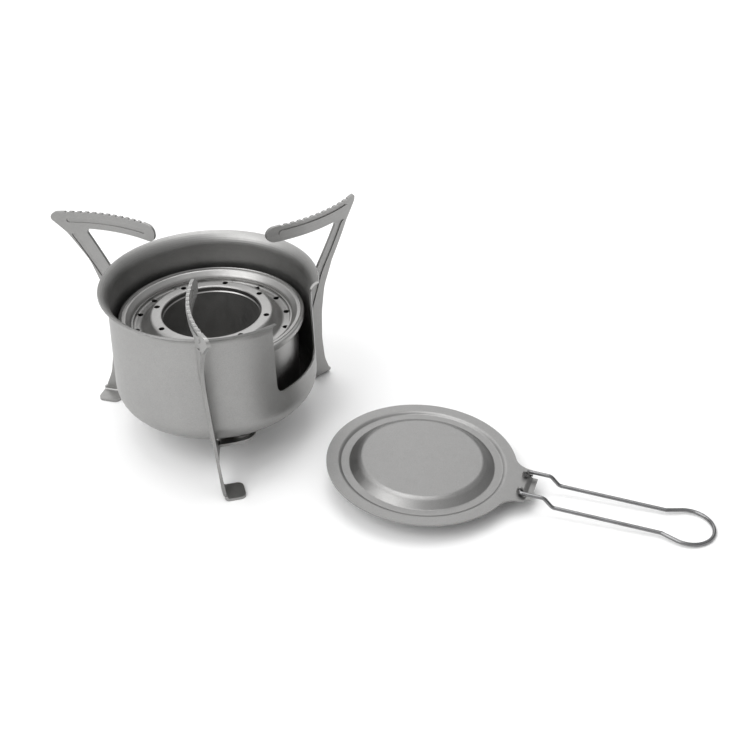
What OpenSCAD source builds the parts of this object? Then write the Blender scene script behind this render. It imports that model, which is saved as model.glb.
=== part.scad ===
// Spirit stove in titanium sheet: a windscreen cup on three legs that swing round it on
// rivets, a double-walled burner that stands in the cup, and a snuffer lid with a folding
// wire handle, lying beside the stove. Millimetres, +Z up. The origin is on the stove's own
// axis, at the height of the surface that it stands on.

/* [Windscreen cup] */
// Height of the rim above the ground
rim_z = 68; // [67:0.5:72]
// Height of the floor's underside above the ground
floor_z = 14.5; // [14:0.1:15.5]
// Outer radius of the wall where the flare starts
cup_top_r = 41.3; // [41.1:0.1:41.6]
// Outer radius of the wall above the bottom corner
cup_low_r = 42.2; // [41.8:0.1:42.4]
// Radius of the rounded bottom corner
cup_corner_r = 10.5; // [9:0.5:11]
// Radius of the flare's curve
flare_r = 5.2; // [4:0.1:5.6]
// Thickness of the cup's sheet
cup_t = 0.7; // [0.5:0.05:0.9]
// Width of the window in the wall
window_w = 32.2; // [28:0.2:33]
// Height of the window's sill above the ground
window_z = 33.5; // [32:0.1:42]
// Direction that the window faces, in degrees from +X
window_az = -29; // [-31:1:-27]

/* [Legs] */
// Height of the teeth that the pot stands on
pot_z = 85.5; // [84.5:0.5:86.5]
// Thickness of the leg's sheet
leg_t = 1.2; // [1:0.1:1.4]
// Radius of the curve that the leg is rolled to, seen from above
leg_roll_r = 63; // [60:1:68]
// Lean of the leg's sheet from upright, in degrees
leg_lean = 4.2; // [3.6:0.1:4.6]
// Number of teeth on one arm
teeth = 11; // [9:1:11]
// Spacing of the teeth
tooth_pitch = 3.1; // [2.9:0.05:3.15]
// Height that the ribs are pressed out by
rib_h = 0.4; // [0.2:0.05:0.5]
// Length of the foot along the leg
foot_l = 9.7; // [8:0.1:10.5]
// Width of the foot, from the bend outwards
foot_w = 8.2; // [7:0.1:9]

/* [Leg pivots] */
// Distance of each pivot from the stove's axis
pivot_r = 31; // [30.5:0.1:31.5]
// Angle from the leg to its pivot, about the stove's axis
pivot_a = 18; // [17:0.5:19]
// Radius of the rivet's shank
rivet_r = 2; // [1.8:0.1:2.2]
// Radius of the rivet's heads
rivet_head_r = 3.6; // [3.4:0.1:4]
// Thickness of the washer between floor and leg
washer_t = 0.8; // [0.7:0.05:0.9]
// Running clearance of the leg on the rivet
fit = 0.05; // [0.03:0.01:0.08]

/* [Burner] */
// Outer radius of the burner's wall
burner_r = 35.1; // [34.5:0.1:35.4]
// Outer radius of the rolled bead round its top
bead_r = 38.2; // [37.6:0.1:38.6]
// Radius of the neck that grips the jet plate
neck_r = 32.85; // [32.5:0.05:33]
// Radius of the mouth of the fuel well
well_r = 20.25; // [19.9:0.05:20.5]
// Height of the burner's raised ring above its base
burner_h = 37.85; // [37:0.05:38.2]
// Thickness of the burner's sheet
burner_t = 0.6; // [0.5:0.05:0.7]
// Radius of a jet
jet_r = 1.2; // [0.9:0.05:1.25]

/* [Lid] */
// Distance of the lid's centre from the stove's axis along X
lid_x = 82.4; // [82:0.2:90]
// Distance of the lid's centre from the stove's axis along Y
lid_y = -50.2; // [-52:0.2:-48]
// Direction that the lid's handle points, in degrees from +X
lid_az = -21.4; // [-24:0.2:-18]
// Radius of the lid's flange
lid_r = 38.4; // [38:0.1:39.2]
// Height of the plateau above the ledge round it
plateau_h = 3; // [2.4:0.1:3.2]
// Thickness of the lid's sheet
lid_t = 0.8; // [0.6:0.05:0.9]
// Outer radius of the collar that plugs the well
collar_r = 19.7; // [19:0.1:19.8]
// Depth of the collar below the flange
collar_depth = 7.7; // [7:0.1:8.2]
// Distance of the hinge line from the lid's centre
hinge_x = 41.3; // [41:0.1:41.6]

/* [Handle] */
// Radius of the handle's wire
wire_r = 0.75; // [0.7:0.05:0.85]
// Half of the distance between the handle's arms
arm_y = 7.1; // [7:0.05:7.3]
// Length of the handle from its hinge line to the end of the loop
handle_l = 75.9; // [74.5:0.1:78]
// Distance from the hinge line to where the arms spread into the loop
spread_x = 55.8; // [53:0.1:56]
// Depth of the jog in the arms
jog_drop = 3.6; // [3.2:0.1:3.8]
// Radius of the loop at the handle's end
loop_r = 10; // [9.6:0.1:10.2]

/* [Hidden] */

titanium = [0.56, 0.55, 0.53];
titanium_dark = [0.48, 0.47, 0.46];
steel_bright = [0.75, 0.75, 0.76];

leg_az = [-90, 30, 150];
pivot = [pivot_r * cos(pivot_a), pivot_r * sin(pivot_a)];

// The leg's own frame: where its pivot is, and how far it is turned when it stands out
leg_pivot = [29.9, 11];
leg_turn = 1.9;

// Heights in the leg joint, from the cup's floor down
floor_top = floor_z + cup_t;
washer_z = floor_z - washer_t;
leg_tab_top = washer_z - fit;
leg_tab_z = leg_tab_top - leg_t;
head_h = 1;
inner_head_h = 0.8;

// The leg's sheet is a slice of a leaning drum
drum_at = [43.2, 59.4];
bend_r = 2;
rib_w = 3;

// Heights in the burner, which stands on the rivets' inner heads
burner_z = floor_top + inner_head_h + 0.05;
ring_z = burner_z + burner_h;
bead_z = ring_z - 0.3;
tray_z = ring_z - 4.8;

// The lid lies tipped on its collar's edge and on the end of its handle
hinge_up = 1.25;
hinge_z = lid_t + hinge_up;
arm_low_edge = hinge_z - jog_drop - wire_r;
handle_reach = hinge_x + handle_l - wire_r;
lid_tip = atan((collar_depth + arm_low_edge - 0.02) / (handle_reach - collar_r));
lid_lift = collar_r * sin(lid_tip) + collar_depth * cos(lid_tip);
lip_drop = 1.25;
tab_half_w = 10;
tab_end_x = hinge_x + 2.6;
lip_half_w = 6.8;
lip_from_x = hinge_x + 0.9;
lip_low_x = hinge_x + 2.4;
lip_end_x = hinge_x + 4.8;
ledge_drop = 0.8;
ear_y = 5;
ear_t = 0.8;
ear_r = 1.35;
jog_from = 9.8;

$fn = 96;
big = 200;

// ---- outlines ----------------------------------------------------------------------

function arc(c, r, a0, a1, n) =
    [for (i = [0:n]) c + r * [cos(a0 + (a1 - a0) * i / n), sin(a0 + (a1 - a0) * i / n)]];

function unit(v) = v / norm(v);
function left_of(v) = [-v[1], v[0]];
function side(p, i) = left_of(unit(p[i + 1] - p[i]));

// Mitre at point i of the path p, of unit height to its left
function mitre(p, i) =
    i == 0 ? side(p, 0) :
    i == len(p) - 1 ? side(p, i - 1) :
    let (m = unit(side(p, i - 1) + side(p, i))) m / (m * side(p, i));

// A strip of sheet of thickness t that lies to the left of the path p
function strip(p, t) =
    concat(p, [for (i = [len(p) - 1:-1:0]) p[i] + t * mitre(p, i)]);

// The path p with each inner corner eased over the length d
function eased(p, d, n = 4) =
    concat([p[0]],
           [for (i = [1:len(p) - 2])
               let (a = p[i] + d * unit(p[i - 1] - p[i]), b = p[i] + d * unit(p[i + 1] - p[i]))
               for (k = [0:n])
                   let (s = k / n) (1 - s) * (1 - s) * a + 2 * s * (1 - s) * p[i] + s * s * b],
           [p[len(p) - 1]]);

function heading(v) = atan2(v[1], v[0]);

// Outline of width w with round ends along the path p
function rounded(p, w, n = 6) =
    let (last = len(p) - 1, a = heading(p[1] - p[0]), b = heading(p[last] - p[last - 1]))
    concat([for (i = [1:1:last - 1]) p[i] - w / 2 * mitre(p, i)],
           arc(p[last], w / 2, b - 90, b + 90, n),
           [for (i = [last - 1:-1:1]) p[i] + w / 2 * mitre(p, i)],
           arc(p[0], w / 2, a + 90, a + 270, n));

// ---- windscreen cup ----------------------------------------------------------------

flare_z = rim_z - flare_r - 0.3;

function cup_path() =
    concat([[0, floor_z]],
           arc([cup_low_r - cup_corner_r, floor_z + cup_corner_r], cup_corner_r, -90, 0, 12),
           arc([cup_top_r + flare_r, flare_z], flare_r, 180, 110, 8));

// Outline of the window, with its lower corners rounded and the rim eased at its top
function window_outline() =
    let (half = window_w / 2, corner = 3.6, ease = 2.4, top = rim_z + 1)
    concat(arc([-half + corner, window_z + corner], corner, 180, 270, 6),
           arc([half - corner, window_z + corner], corner, 270, 360, 6),
           [[half, rim_z - 3.4], [half + 0.5 * ease, rim_z - 1.2], [half + ease, top],
            [-half - ease, top], [-half - 0.5 * ease, rim_z - 1.2], [-half, rim_z - 3.4]]);

module windscreen_cup() {
    color(titanium)
    difference() {
        rotate_extrude()
            polygon(strip(cup_path(), cup_t));
        rotate([0, 0, window_az])
            translate([cup_top_r / 2, 0, 0])
                rotate([90, 0, 90])
                    linear_extrude(cup_top_r)
                        polygon(window_outline());
        for (a = leg_az)
            rotate([0, 0, a])
                translate([pivot[0], pivot[1], floor_z - 1])
                    cylinder(r = rivet_r, h = cup_t + 2);
    }
}

// ---- legs --------------------------------------------------------------------------

// A layer of the leaning drum, from `out` outside its middle surface, `t` thick
module drum_layer(out, t) {
    translate([drum_at[0], drum_at[1], pot_z])
        rotate([leg_lean, 0, 0])
            translate([0, 0, -pot_z * 1.2])
                difference() {
                    cylinder(r = leg_roll_r + out, h = pot_z * 1.5, $fn = 180);
                    translate([0, 0, -1])
                        cylinder(r = leg_roll_r + out - t, h = pot_z * 1.5 + 2, $fn = 180);
                }
}

// Outline of the leg, with x away from the stove's axis and y up
arm_low_z = pot_z - 7.3;
nose_r = 2.2;
inner_nose_r = 1.4;
foot_end_z = bend_r + 0.2;
neck_z = 10.8;
tab_end_z = leg_tab_top - bend_r - 0.2;
function leg_outline() =
    concat(arc([29.6, pot_z - 3.7], 3.6, 270, 90, 12),
           [[31.7, pot_z]],
           arc([71, pot_z - nose_r], nose_r, 90, -42, 10),
           eased([[67.6, 76.2], [59.2, 63.4], [53.6, 48.7], [52.3, 36], [52.6, 22],
                  [54.4, 10], [57.5, foot_end_z]], 2.6),
           [[48.9, foot_end_z], [48.2, 8.4], [47.4, 9.8], [45.6, neck_z]],
           [[27.4, neck_z], [27.4, tab_end_z], [33.6, tab_end_z]],
           arc([cup_low_r - cup_corner_r, floor_z + cup_corner_r], cup_corner_r + 1, -70, 0, 6),
           eased([[43.2, 48], [50.9, 62], [57.6, 73.2]], 2.4),
           arc([58.1, arm_low_z - inner_nose_r], inner_nose_r, -31, 90, 8),
           [[29.6, arm_low_z]]);

module tooth_gaps() {
    gap_r = 0.9;
    gap_up = 0.35;
    outer_tooth_x = 65.6;
    for (i = [0:teeth])
        translate([outer_tooth_x + tooth_pitch * (0.5 - i), pot_z + gap_up])
            circle(gap_r, $fn = 32);
}

// Two pressed ribs with round ends, one on the arm and one down the bar
module ribs(w) {
    arm_rib_z = pot_z - 3.7;
    polygon(rounded([[32.6, arm_rib_z], [66.3, arm_rib_z]], w));
    polygon(rounded(eased([[64.6, 75.2], [53.2, 56], [47.9, 38], [48.2, 24]], 3), w));
}

module upright(h) {
    translate([0, h / 2, 0])
        rotate([90, 0, 0])
            linear_extrude(h)
                children();
}

// A strip that runs along x, bends through a quarter turn and ends as a flat tab towards +y.
// Its upright part is centred on y = 0; z is the height of the outside of the bend.
module bent_tab(l, w, z, turn) {
    path = concat([[-leg_t / 2, z - turn * (bend_r + 0.5)]],
                  arc([bend_r - leg_t / 2, z - turn * bend_r], bend_r, 180, 180 - 90 * turn, 8),
                  [[w, z]]);
    rotate([90, 0, 90])
        translate([0, 0, -l / 2])
            linear_extrude(l)
                polygon(strip(path, -turn * leg_t));
}

module foot() {
    corner = 2.4;
    half = foot_l / 2 - corner;
    translate([53.4, 3.6, 0])
        rotate([0, 0, 9.5])
            intersection() {
                bent_tab(foot_l, foot_w, 0, -1);
                linear_extrude(2 * bend_r)
                    polygon(concat([[-foot_l / 2 - 1, -leg_t], [foot_l / 2 + 1, -leg_t]],
                                   arc([half, foot_w - corner], corner, 0, 90, 6),
                                   arc([-half, foot_w - corner], corner, 90, 180, 6)));
            }
}

// The tab under the cup's floor that the leg swings on
module pivot_tab() {
    tab_r = 6.5;
    edge_r = norm(leg_pivot) + tab_r;
    pivot_heading = heading(leg_pivot);
    intersection() {
        translate([32.4, 2.7, 0])
            rotate([0, 0, -7])
                bent_tab(26, 20, leg_tab_top, 1);
        linear_extrude(floor_z)
            polygon(concat([[27.7, 0.5], [37.5, -0.5]],
                           arc([0, 0], edge_r, 1, pivot_heading - 3, 5),
                           arc(leg_pivot, tab_r, pivot_heading, pivot_heading + 170, 14)));
    }
}

module leg() {
    color(titanium)
    difference() {
        union() {
            intersection() {
                drum_layer(leg_t / 2, leg_t);
                upright(80)
                    difference() {
                        polygon(leg_outline());
                        tooth_gaps();
                    }
            }
            intersection() {
                drum_layer(leg_t / 2 + rib_h, leg_t);
                upright(80)
                    ribs(rib_w);
            }
            foot();
            pivot_tab();
        }
        intersection() {
            drum_layer(-leg_t / 2 + rib_h, 2 * rib_h);
            upright(80)
                ribs(rib_w - 2 * rib_h);
        }
        translate(leg_pivot)
            cylinder(r = rivet_r + fit, h = rim_z);
    }
}

// Puts a leg on its pivot, for the leg that points along a
module at_leg(a) {
    rotate([0, 0, a])
        translate(pivot)
            rotate([0, 0, leg_turn])
                translate(-leg_pivot)
                    leg();
}

module leg_front() {
    at_leg(leg_az[0]);
}

module leg_right() {
    at_leg(leg_az[1]);
}

module leg_left() {
    at_leg(leg_az[2]);
}

module at_pivots() {
    for (a = leg_az)
        rotate([0, 0, a])
            translate([pivot[0], pivot[1], 0])
                children();
}

// Three rivets: a domed head under the leg's tab, a shank, and a flat head in the cup
module pivot_rivets() {
    low = leg_tab_z - fit - head_h;
    profile = concat([[0, low]],
                     [[rivet_head_r - 0.8, low], [rivet_head_r, low + 0.5],
                      [rivet_head_r, low + head_h], [rivet_r, low + head_h],
                      [rivet_r, floor_top], [rivet_head_r - 0.2, floor_top],
                      [rivet_head_r - 0.6, floor_top + inner_head_h],
                      [0, floor_top + inner_head_h]]);
    color(steel_bright)
        at_pivots()
            rotate_extrude()
                polygon(profile);
}

module pivot_washers() {
    color(titanium_dark)
        at_pivots()
            translate([0, 0, washer_z])
                difference() {
                    cylinder(r = rivet_head_r + 1.2, h = washer_t);
                    translate([0, 0, -1])
                        cylinder(r = rivet_r, h = washer_t + 2);
                }
}

// ---- burner ------------------------------------------------------------------------

// Outside of the body, up the wall, over the bead with its groove and down the neck
function body_path() =
    concat([[0, burner_z]],
           arc([burner_r - 5, burner_z + 5], 5, -90, 0, 8),
           [[burner_r, bead_z - 4.6]],
           eased([[burner_r, bead_z - 4.4], [bead_r - 0.4, bead_z - 3.1],
                  [bead_r, bead_z - 0.3], [37, bead_z]], 0.7),
           [[36.75, bead_z - 0.35]],
           eased([[36.5, bead_z], [35.2, bead_z - 0.1], [33.3, bead_z - 1.8],
                  [neck_r, bead_z - 2.6], [neck_r, bead_z - 6]], 0.4));

module burner_body() {
    color(titanium)
        rotate_extrude()
            polygon(strip(body_path(), burner_t));
}

// Top of the jet plate: lip, tray with the outer jets, slope, raised ring and collar, which
// curls in at its foot
function jet_path() =
    let (lip_r = neck_r - burner_t)
    concat(eased([[lip_r, tray_z + 1.5], [lip_r, tray_z], [28.9, tray_z], [24.9, ring_z],
                  [well_r, ring_z], [well_r, ring_z - 2.2]], 0.9),
           [[well_r - 0.35, ring_z - 2.6]]);

module jets(r, n, from) {
    for (i = [0:n - 1])
        rotate([0, 0, from + 360 * i / n])
            translate([r, 0, tray_z - 3])
                cylinder(r = jet_r, h = 8, $fn = 24);
}

module burner_jet_plate() {
    color(titanium)
    difference() {
        rotate_extrude()
            polygon(strip(jet_path(), burner_t));
        jets(23.1, 8, 32.5);
        jets(30.9, 16, 9);
    }
}

// The wall round the fuel well, with notches at its foot that let the fuel through
module burner_well_sleeve() {
    inner = well_r + burner_t;
    low = burner_z + burner_t;
    color(titanium_dark)
    difference() {
        translate([0, 0, low])
            cylinder(r = inner + burner_t, h = ring_z - 1.2 - low);
        translate([0, 0, low - 1])
            cylinder(r = inner, h = burner_h + 2);
        for (a = [0, 90])
            rotate([90, 0, a])
                translate([0, low, -big / 2])
                    cylinder(r = 3, h = big, $fn = 32);
    }
}

// ---- lid ---------------------------------------------------------------------------

// Puts its children on the ground at the lid's place and heading
module at_lid() {
    translate([lid_x, lid_y, 0])
        rotate([0, 0, lid_az])
            children();
}

// Tips its children as the lid lies; z = 0 is the underside of its flange
module tipped() {
    translate([0, 0, lid_lift])
        rotate([0, lid_tip, 0])
            children();
}

plateau_z = plateau_h - ledge_drop;

// Underside of the disc, from the centre outwards
function disc_path() =
    eased([[0, plateau_z], [24.2, plateau_z], [25.6, plateau_z - 0.6], [28.9, -ledge_drop],
           [32.6, -ledge_drop], [33.8, 0], [lid_r, 0]], 0.5);

// Half of the tab's outline, with a hollow curve out of the flange
function tab_side() =
    let (hollow = 8,
         c = [sqrt(pow(lid_r + hollow, 2) - pow(tab_half_w + hollow, 2)), tab_half_w + hollow],
         start = 180 + atan2(c[1], c[0]))
    concat(arc(c, hollow, start, 266, 8),
           arc([tab_end_x - 1.2, tab_half_w - 1.2], 1.2, 90, 0, 4));

function mirrored(p) = [for (i = [len(p) - 1:-1:0]) [p[i][0], -p[i][1]]];

module tab_plate() {
    linear_extrude(lid_t)
        difference() {
            polygon(concat([[34.5, 8]], tab_side(), mirrored(tab_side()), [[34.5, -8]]));
            translate([lip_from_x, -lip_half_w - 0.15])
                square([lip_end_x, 2 * lip_half_w + 0.3]);
        }
}

// The lip between the tab's two cheeks, which dips and runs level again
module tab_lip() {
    path = eased([[lip_from_x - 0.6, 0], [lip_from_x, 0], [lip_low_x, -lip_drop],
                  [lip_end_x, -lip_drop]], 0.5);
    rotate([90, 0, 0])
        translate([0, 0, -lip_half_w])
            linear_extrude(2 * lip_half_w)
                polygon(strip(path, lid_t));
}

// Two ears that stand on the tab, drilled for the wire's ends
module ears() {
    for (s = [-1, 1])
        translate([hinge_x, s * (ear_y + ear_t / 2), 0])
            rotate([90, 0, 0])
                linear_extrude(ear_t, center = true) {
                    translate([0, hinge_z])
                        circle(ear_r, $fn = 48);
                    translate([-ear_r, lid_t / 2])
                        square([2 * ear_r, hinge_z - lid_t / 2]);
                }
}

module lid_disc() {
    color(titanium)
    at_lid()
        tipped()
            difference() {
                union() {
                    rotate_extrude()
                        polygon(strip(disc_path(), lid_t));
                    tab_plate();
                    tab_lip();
                    ears();
                }
                translate([hinge_x, 0, hinge_z])
                    rotate([90, 0, 0])
                        cylinder(r = wire_r + fit, h = 4 * ear_y, center = true);
            }
}

// The ring welded under the plateau, which drops into the well's mouth
module lid_collar() {
    ring_t = 0.8;
    profile = [[16, plateau_z], [collar_r, plateau_z], [collar_r, 0.6 - collar_depth],
               [collar_r - 0.3, -collar_depth], [collar_r - ring_t, -collar_depth],
               [collar_r - ring_t, plateau_z - ring_t], [16, plateau_z - ring_t]];
    color(titanium_dark)
        at_lid()
            tipped()
                rotate_extrude()
                    polygon(profile);
}

// ---- handle ------------------------------------------------------------------------

// The wire is laid piece by piece: each piece starts at the origin along +X, and its
// children start where it ends. A lap makes one solid of two pieces that meet.
module lap() {
    lap_l = 0.12;
    lap_rise = 0.01;
    translate([-lap_l / 2, 0, 0])
        rotate([0, 90, 0])
            cylinder(r = wire_r + lap_rise, h = lap_l, $fn = 32);
}

module run(l) {
    rotate([0, 90, 0])
        cylinder(r = wire_r, h = l, $fn = 32);
    translate([l, 0, 0])
        children();
}

// A bend of radius r through the angle a in the XY plane, to the left for side = 1
module bend(r, a, side) {
    lap();
    mirror([0, (1 - side) / 2, 0])
        translate([0, r, 0])
            rotate([0, 0, -90])
                rotate_extrude(angle = a, $fn = 96)
                    translate([r, 0])
                        circle(wire_r, $fn = 32);
    translate([r * sin(a), side * r * (1 - cos(a)), 0])
        rotate([0, 0, side * a]) {
            lap();
            children();
        }
}

// Turns the plane that the next bend lies in
module roll(a) {
    rotate([a, 0, 0])
        children();
}

// Half of the handle: hinge end, elbow, arm, jog, long run, spread and half of the loop
module handle_half(s) {
    elbow_r = 1.2;
    jog_r = 2.4;
    spread_r = 1.6;
    hinge_end = ear_y - 0.7;
    jog_a = 44;
    jog_ease = jog_r * tan(jog_a / 2);
    to_loop = handle_l - wire_r - loop_r - spread_x;
    to_middle = norm([to_loop, arm_y]);
    spread_a = asin(loop_r / to_middle) - atan2(arm_y, to_loop);
    spread_ease = spread_r * tan(spread_a / 2);
    flank = sqrt(to_middle * to_middle - loop_r * loop_r);
    translate([0, s * hinge_end, 0])
        rotate([0, 0, s * 90])
            run(arm_y - hinge_end - elbow_r)
            bend(elbow_r, 90, -s)
            run(jog_from - elbow_r - jog_ease)
            roll(90)
            bend(jog_r, jog_a, -1)
            run(jog_drop / sin(jog_a) - 2 * jog_ease)
            bend(jog_r, jog_a, 1)
            roll(-90)
            run(spread_x - jog_from - jog_drop / tan(jog_a) - jog_ease - spread_ease)
            bend(spread_r, spread_a, s)
            run(flank - spread_ease)
            bend(loop_r, 90 + spread_a, -s);
}

module lid_handle() {
    color(steel_bright)
    at_lid()
        tipped()
            translate([hinge_x, 0, hinge_z]) {
                handle_half(-1);
                handle_half(1);
            }
}

windscreen_cup();
leg_front();
leg_right();
leg_left();
pivot_rivets();
pivot_washers();
burner_body();
burner_jet_plate();
burner_well_sleeve();
lid_disc();
lid_collar();
lid_handle();
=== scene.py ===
"""Looks for the titanium spirit stove: materials on the CAD nodes, floor, light and camera."""
import math

import bpy
from mathutils import Matrix, Vector


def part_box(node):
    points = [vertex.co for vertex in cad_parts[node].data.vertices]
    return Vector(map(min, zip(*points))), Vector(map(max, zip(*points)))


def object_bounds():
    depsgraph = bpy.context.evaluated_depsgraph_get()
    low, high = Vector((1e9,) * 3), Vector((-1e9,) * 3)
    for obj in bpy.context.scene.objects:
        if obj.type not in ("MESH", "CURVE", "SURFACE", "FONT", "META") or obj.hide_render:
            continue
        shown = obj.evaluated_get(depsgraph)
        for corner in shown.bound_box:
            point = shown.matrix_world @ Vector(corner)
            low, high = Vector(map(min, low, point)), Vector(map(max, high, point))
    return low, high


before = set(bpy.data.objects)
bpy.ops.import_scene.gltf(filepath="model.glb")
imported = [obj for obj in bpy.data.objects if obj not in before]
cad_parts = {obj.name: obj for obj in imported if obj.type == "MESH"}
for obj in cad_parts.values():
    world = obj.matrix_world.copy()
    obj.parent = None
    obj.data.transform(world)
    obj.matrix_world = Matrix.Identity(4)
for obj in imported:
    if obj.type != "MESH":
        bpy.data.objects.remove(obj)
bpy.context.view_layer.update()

MM = 0.001

# ---- camera ------------------------------------------------------------------------

LENS = 63.4
SENSOR = 36.0
CLIP = (0.01, 20)
CAMERA_HEADING = 86.7
CAMERA_PITCH = -33.87
CAMERA_ROLL = -0.81
# From the middle of the cup's rim, which is where the stove's axis crosses it
CAMERA_FROM_RIM = Vector((39.9, -468.7, 265.5)) * MM


def rim_centre():
    low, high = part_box("windscreen_cup")
    return Vector(((low.x + high.x) / 2, (low.y + high.y) / 2, high.z))


def make_camera():
    az, pitch, roll = (math.radians(a) for a in (CAMERA_HEADING, CAMERA_PITCH, CAMERA_ROLL))
    forward = Vector((math.cos(pitch) * math.cos(az), math.cos(pitch) * math.sin(az),
                      math.sin(pitch)))
    level = Vector((math.sin(az), -math.cos(az), 0))
    over = level.cross(forward)
    right = math.cos(roll) * level + math.sin(roll) * over
    up = -math.sin(roll) * level + math.cos(roll) * over
    data = bpy.data.cameras.new("camera")
    data.lens = LENS
    data.sensor_width = SENSOR
    data.clip_start, data.clip_end = CLIP
    camera = bpy.data.objects.new("camera", data)
    bpy.context.scene.collection.objects.link(camera)
    turn = Matrix((right, up, -forward)).transposed().to_4x4()
    camera.matrix_world = Matrix.Translation(rim_centre() + CAMERA_FROM_RIM) @ turn
    bpy.context.scene.camera = camera


# ---- studio ------------------------------------------------------------------------

WHITE = (1, 1, 1, 1)
FLOOR_SIZE = 12
FLOOR_GAP = 0.00002
FLOOR_COLOUR = (0.93, 0.93, 0.93, 1)
FLOOR_ROUGHNESS = 0.9

# Sky brightness from the horizon to overhead, and its factor from the left to the right,
# each with the parts of the view direction between which it changes
SKY_LOW_HIGH = (0.45, 1.0)
SKY_FROM_LOW_TO_HIGH = (-0.05, 0.85)
SKY_LEFT_RIGHT = (1.1, 0.6)
SKY_FROM_LEFT_TO_RIGHT = (-0.7, 0.9)

# Name, place, width, depth and watts of each area light, and the point that all aim at
LIGHTS_AIM = (0.05, 0, 0.03)
LIGHTS = (("key", (-0.55, -0.45, 0.75), 0.8, 0.8, 5),
          ("back", (0.05, 0.75, 0.55), 0.8, 0.5, 1.2),
          ("top", (0.0, 0.15, 1.05), 0.6, 0.6, 3))


def make_floor():
    low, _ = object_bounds()
    bpy.ops.mesh.primitive_plane_add(size=FLOOR_SIZE, location=(0, 0, low.z - FLOOR_GAP))
    floor = bpy.context.object
    floor.name = "floor"
    mat = bpy.data.materials.new("floor")
    mat.use_nodes = True
    shader = mat.node_tree.nodes["Principled BSDF"]
    shader.inputs["Base Color"].default_value = FLOOR_COLOUR
    shader.inputs["Roughness"].default_value = FLOOR_ROUGHNESS
    floor.data.materials.append(mat)


def area_light(name, at, width, depth, watts):
    data = bpy.data.lights.new(name, "AREA")
    data.shape = "RECTANGLE"
    data.size = width
    data.size_y = depth
    data.energy = watts
    lamp = bpy.data.objects.new(name, data)
    bpy.context.scene.collection.objects.link(lamp)
    lamp.location = at
    lamp.rotation_mode = "QUATERNION"
    lamp.rotation_quaternion = (Vector(LIGHTS_AIM) - Vector(at)).to_track_quat("-Z", "Y")


def make_world():
    """A white studio that is brightest overhead and falls off towards the stove's right."""
    world = bpy.data.worlds.new("studio")
    world.use_nodes = True
    tree = world.node_tree
    background = tree.nodes["Background"]
    direction = tree.nodes.new("ShaderNodeTexCoord").outputs["Generated"]
    split = tree.nodes.new("ShaderNodeSeparateXYZ")
    tree.links.new(direction, split.inputs[0])

    def fall(source, between, values):
        node = tree.nodes.new("ShaderNodeMapRange")
        node.interpolation_type = "SMOOTHSTEP"
        tree.links.new(source, node.inputs["Value"])
        for key, value in zip(("From Min", "From Max", "To Min", "To Max"), between + values):
            node.inputs[key].default_value = value
        return node.outputs["Result"]

    strength = tree.nodes.new("ShaderNodeMath")
    strength.operation = "MULTIPLY"
    upward = fall(split.outputs["Z"], SKY_FROM_LOW_TO_HIGH, SKY_LOW_HIGH)
    sideways = fall(split.outputs["X"], SKY_FROM_LEFT_TO_RIGHT, SKY_LEFT_RIGHT)
    tree.links.new(upward, strength.inputs[0])
    tree.links.new(sideways, strength.inputs[1])
    tree.links.new(strength.outputs[0], background.inputs["Strength"])
    background.inputs["Color"].default_value = WHITE
    bpy.context.scene.world = world


def make_lights():
    make_world()
    for light in LIGHTS:
        area_light(*light)


# ---- materials ---------------------------------------------------------------------

# Sizes of the marks on the metal and depths of their relief, in millimetres
CLOUD = 14
SCUFF = 2.2
DENT = 9
DENT_DEPTH = 0.12
RING = 0.5
RING_DEPTH = 0.03
PIT_DEPTH = 0.02
EDGE_RADIUS = 0.3
WIRE_SCRATCH = 0.35
WIRE_CLOUD = 6
WIRE_DEPTH = 0.01

# The middle of a noise's values, which is stretched over each wanted spread
MIDDLE = (0.3, 0.7)


class Nodes:
    """Short names for building a node tree."""

    def __init__(self, name):
        self.mat = bpy.data.materials.new(name)
        self.mat.use_nodes = True
        self.tree = self.mat.node_tree
        self.shader = self.tree.nodes["Principled BSDF"]
        self.place = self.tree.nodes.new("ShaderNodeTexCoord").outputs["Object"]

    def add(self, kind, links=(), **values):
        node = self.tree.nodes.new("ShaderNode" + kind)
        for key, value in values.items():
            setattr(node, key, value)
        for socket, source in dict(links).items():
            target = node.inputs[socket]
            if isinstance(source, bpy.types.NodeSocket):
                self.tree.links.new(source, target)
            else:
                target.default_value = source
        return node

    def noise(self, size, detail=3.0, rough=0.5, at=None):
        """Noise whose marks are of a size in millimetres."""
        return self.add("TexNoise", {"Vector": at or self.place, "Scale": 1 / (size * MM),
                                     "Detail": detail, "Roughness": rough}).outputs["Fac"]

    def remap(self, source, low, high, to_low, to_high):
        return self.add("MapRange", {"Value": source, "From Min": low, "From Max": high,
                                     "To Min": to_low, "To Max": to_high}).outputs["Result"]

    def spread(self, source, low, high):
        """Noise stretched from its middle values to those between low and high."""
        return self.remap(source, *MIDDLE, low, high)

    def mul(self, a, b):
        return self.add("Math", {0: a, 1: b}, operation="MULTIPLY").outputs[0]

    def plus(self, a, b):
        return self.add("Math", {0: a, 1: b}, operation="ADD").outputs[0]

    def shade(self, colour, amount):
        """The colour, made darker or lighter by a factor that varies over the surface."""
        return self.add("VectorMath", {0: colour, "Scale": amount},
                        operation="SCALE").outputs[0]

    def bump(self, height, strength, depth, normal=None):
        links = {"Height": height, "Strength": strength, "Distance": depth * MM}
        if normal:
            links["Normal"] = normal
        return self.add("Bump", links).outputs["Normal"]

    def set(self, **sockets):
        for name, value in sockets.items():
            target = self.shader.inputs[name.replace("_", " ").title()]
            if isinstance(value, bpy.types.NodeSocket):
                self.tree.links.new(value, target)
            else:
                target.default_value = value


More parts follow.
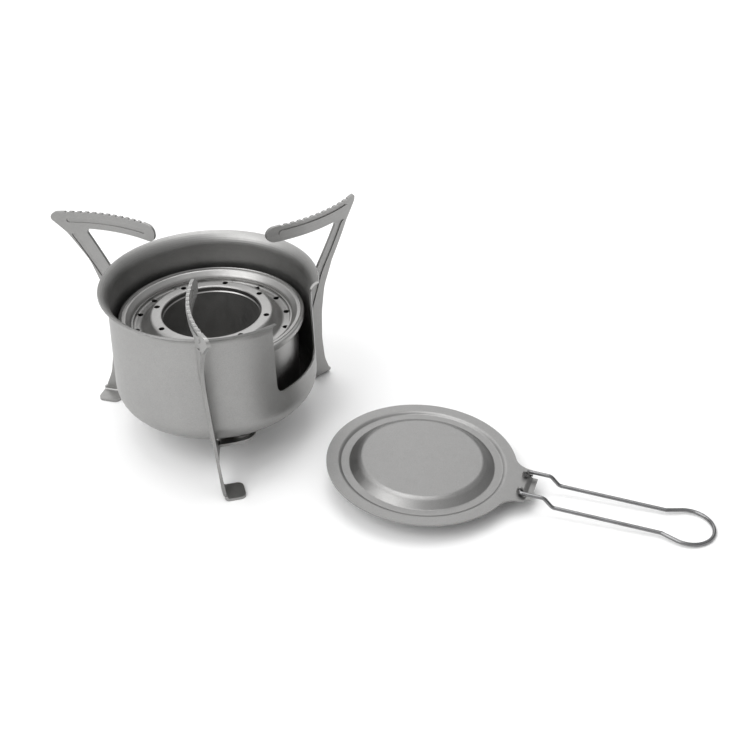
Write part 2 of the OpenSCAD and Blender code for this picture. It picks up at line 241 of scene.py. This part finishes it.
def edge_mask(n):
    """1 on sharp edges and 0 on open faces."""
    soft = n.add("Bevel", {"Radius": EDGE_RADIUS * MM}, samples=4).outputs["Normal"]
    flat = n.add("NewGeometry").outputs["Normal"]
    alike = n.add("VectorMath", {0: soft, 1: flat}, operation="DOT_PRODUCT").outputs["Value"]
    return n.remap(alike, 0.98, 0.75, 0, 1)


def spun_rings(n, axis):
    """Faint turning marks: noise that changes with the distance from an axis and with height."""
    flat = n.add("VectorMath", {0: n.place, 1: (axis[0], axis[1], 0)}, operation="SUBTRACT")
    flat = n.add("VectorMath", {0: flat.outputs[0], 1: (1, 1, 0)}, operation="MULTIPLY")
    away = n.add("VectorMath", {0: flat.outputs[0]}, operation="LENGTH").outputs["Value"]
    height = n.add("SeparateXYZ", {0: n.place}).outputs["Z"]
    along = n.add("CombineXYZ", {"X": away, "Y": height}).outputs[0]
    return n.noise(RING, 2, 0.5, at=along)


def blasted_metal(name, colour, rough, grain=0.28, axis=None):
    """Bead-blasted sheet: a fine pitted grain, cloudy tone, and edges made brighter in colour,
    partly as rubbed wear and partly as a painted highlight that also runs along inner creases.
    """
    edge_wear_and_highlight = 0.3
    edge_polish = -0.1
    n = Nodes(name)
    pits = n.noise(grain, 2, 0.6)
    cloud = n.noise(CLOUD, 4, 0.55)
    scuff = n.noise(SCUFF, 5, 0.65)
    tone = n.plus(n.spread(cloud, 0.95, 1.05), n.spread(pits, -0.09, 0.09))
    # Edges and inner creases get a lighter colour: partly rubbed wear, partly a painted
    # highlight. Their lower roughness is the real polish of wear.
    wear_and_highlight = n.mul(edge_mask(n), n.remap(scuff, 0.35, 0.6, 0.4, 1))
    tone = n.plus(tone, n.mul(wear_and_highlight, edge_wear_and_highlight))
    rough_at = n.plus(n.spread(cloud, rough - 0.04, rough + 0.04),
                      n.spread(scuff, -0.04, 0.04))
    n.set(base_color=n.shade(colour, tone), metallic=1.0,
          roughness=n.plus(rough_at, n.mul(wear_and_highlight, edge_polish)))
    dents = n.bump(n.noise(DENT, 2), 0.25, DENT_DEPTH)
    if axis:
        dents = n.bump(spun_rings(n, axis), 0.25, RING_DEPTH, dents)
    n.set(normal=n.bump(pits, 0.4, PIT_DEPTH, dents))
    return n.mat


def drawn_wire(name, colour):
    """Bright wire with faint scratches and a soft variation in polish."""
    n = Nodes(name)
    scratch = n.noise(WIRE_SCRATCH, 4, 0.7)
    cloud = n.noise(WIRE_CLOUD, 3)
    n.set(base_color=n.shade(colour, n.spread(cloud, 0.9, 1.1)), metallic=1.0,
          roughness=n.plus(n.spread(scratch, 0.1, 0.2), n.spread(cloud, 0, 0.06)))
    n.set(normal=n.bump(scratch, 0.15, WIRE_DEPTH))
    return n.mat


def middle_of(name):
    low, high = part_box(name)
    return ((low.x + high.x) / 2, (low.y + high.y) / 2)


def dress():
    stove_axis = middle_of("burner_body")
    lid_axis = middle_of("lid_collar")
    cup = blasted_metal("titanium_cup", (0.335, 0.333, 0.328), 0.46)
    lid = blasted_metal("titanium_lid", (0.27, 0.268, 0.265), 0.38, axis=lid_axis)
    leg = blasted_metal("titanium_leg", (0.3, 0.298, 0.293), 0.42)
    burner = blasted_metal("titanium_burner", (0.33, 0.327, 0.322), 0.36, axis=stove_axis)
    inner = blasted_metal("titanium_inner", (0.34, 0.337, 0.332), 0.5)
    rivet = blasted_metal("rivet", (0.42, 0.415, 0.41), 0.36, grain=0.2)
    wire = drawn_wire("steel_wire", (0.2, 0.2, 0.203))
    finishes = {
        cup: ["windscreen_cup"],
        lid: ["lid_disc"],
        leg: ["leg_front", "leg_right", "leg_left"],
        burner: ["burner_body", "burner_jet_plate"],
        inner: ["burner_well_sleeve", "lid_collar"],
        rivet: ["pivot_rivets", "pivot_washers"],
        wire: ["lid_handle"],
    }
    for material, names in finishes.items():
        for name in names:
            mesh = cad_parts[name].data
            if not mesh.materials:
                mesh.materials.append(material)
            for i in range(len(mesh.materials)):
                mesh.materials[i] = material


make_camera()
make_floor()
make_lights()
dress()
bpy.context.scene.view_settings.view_transform = "Standard"
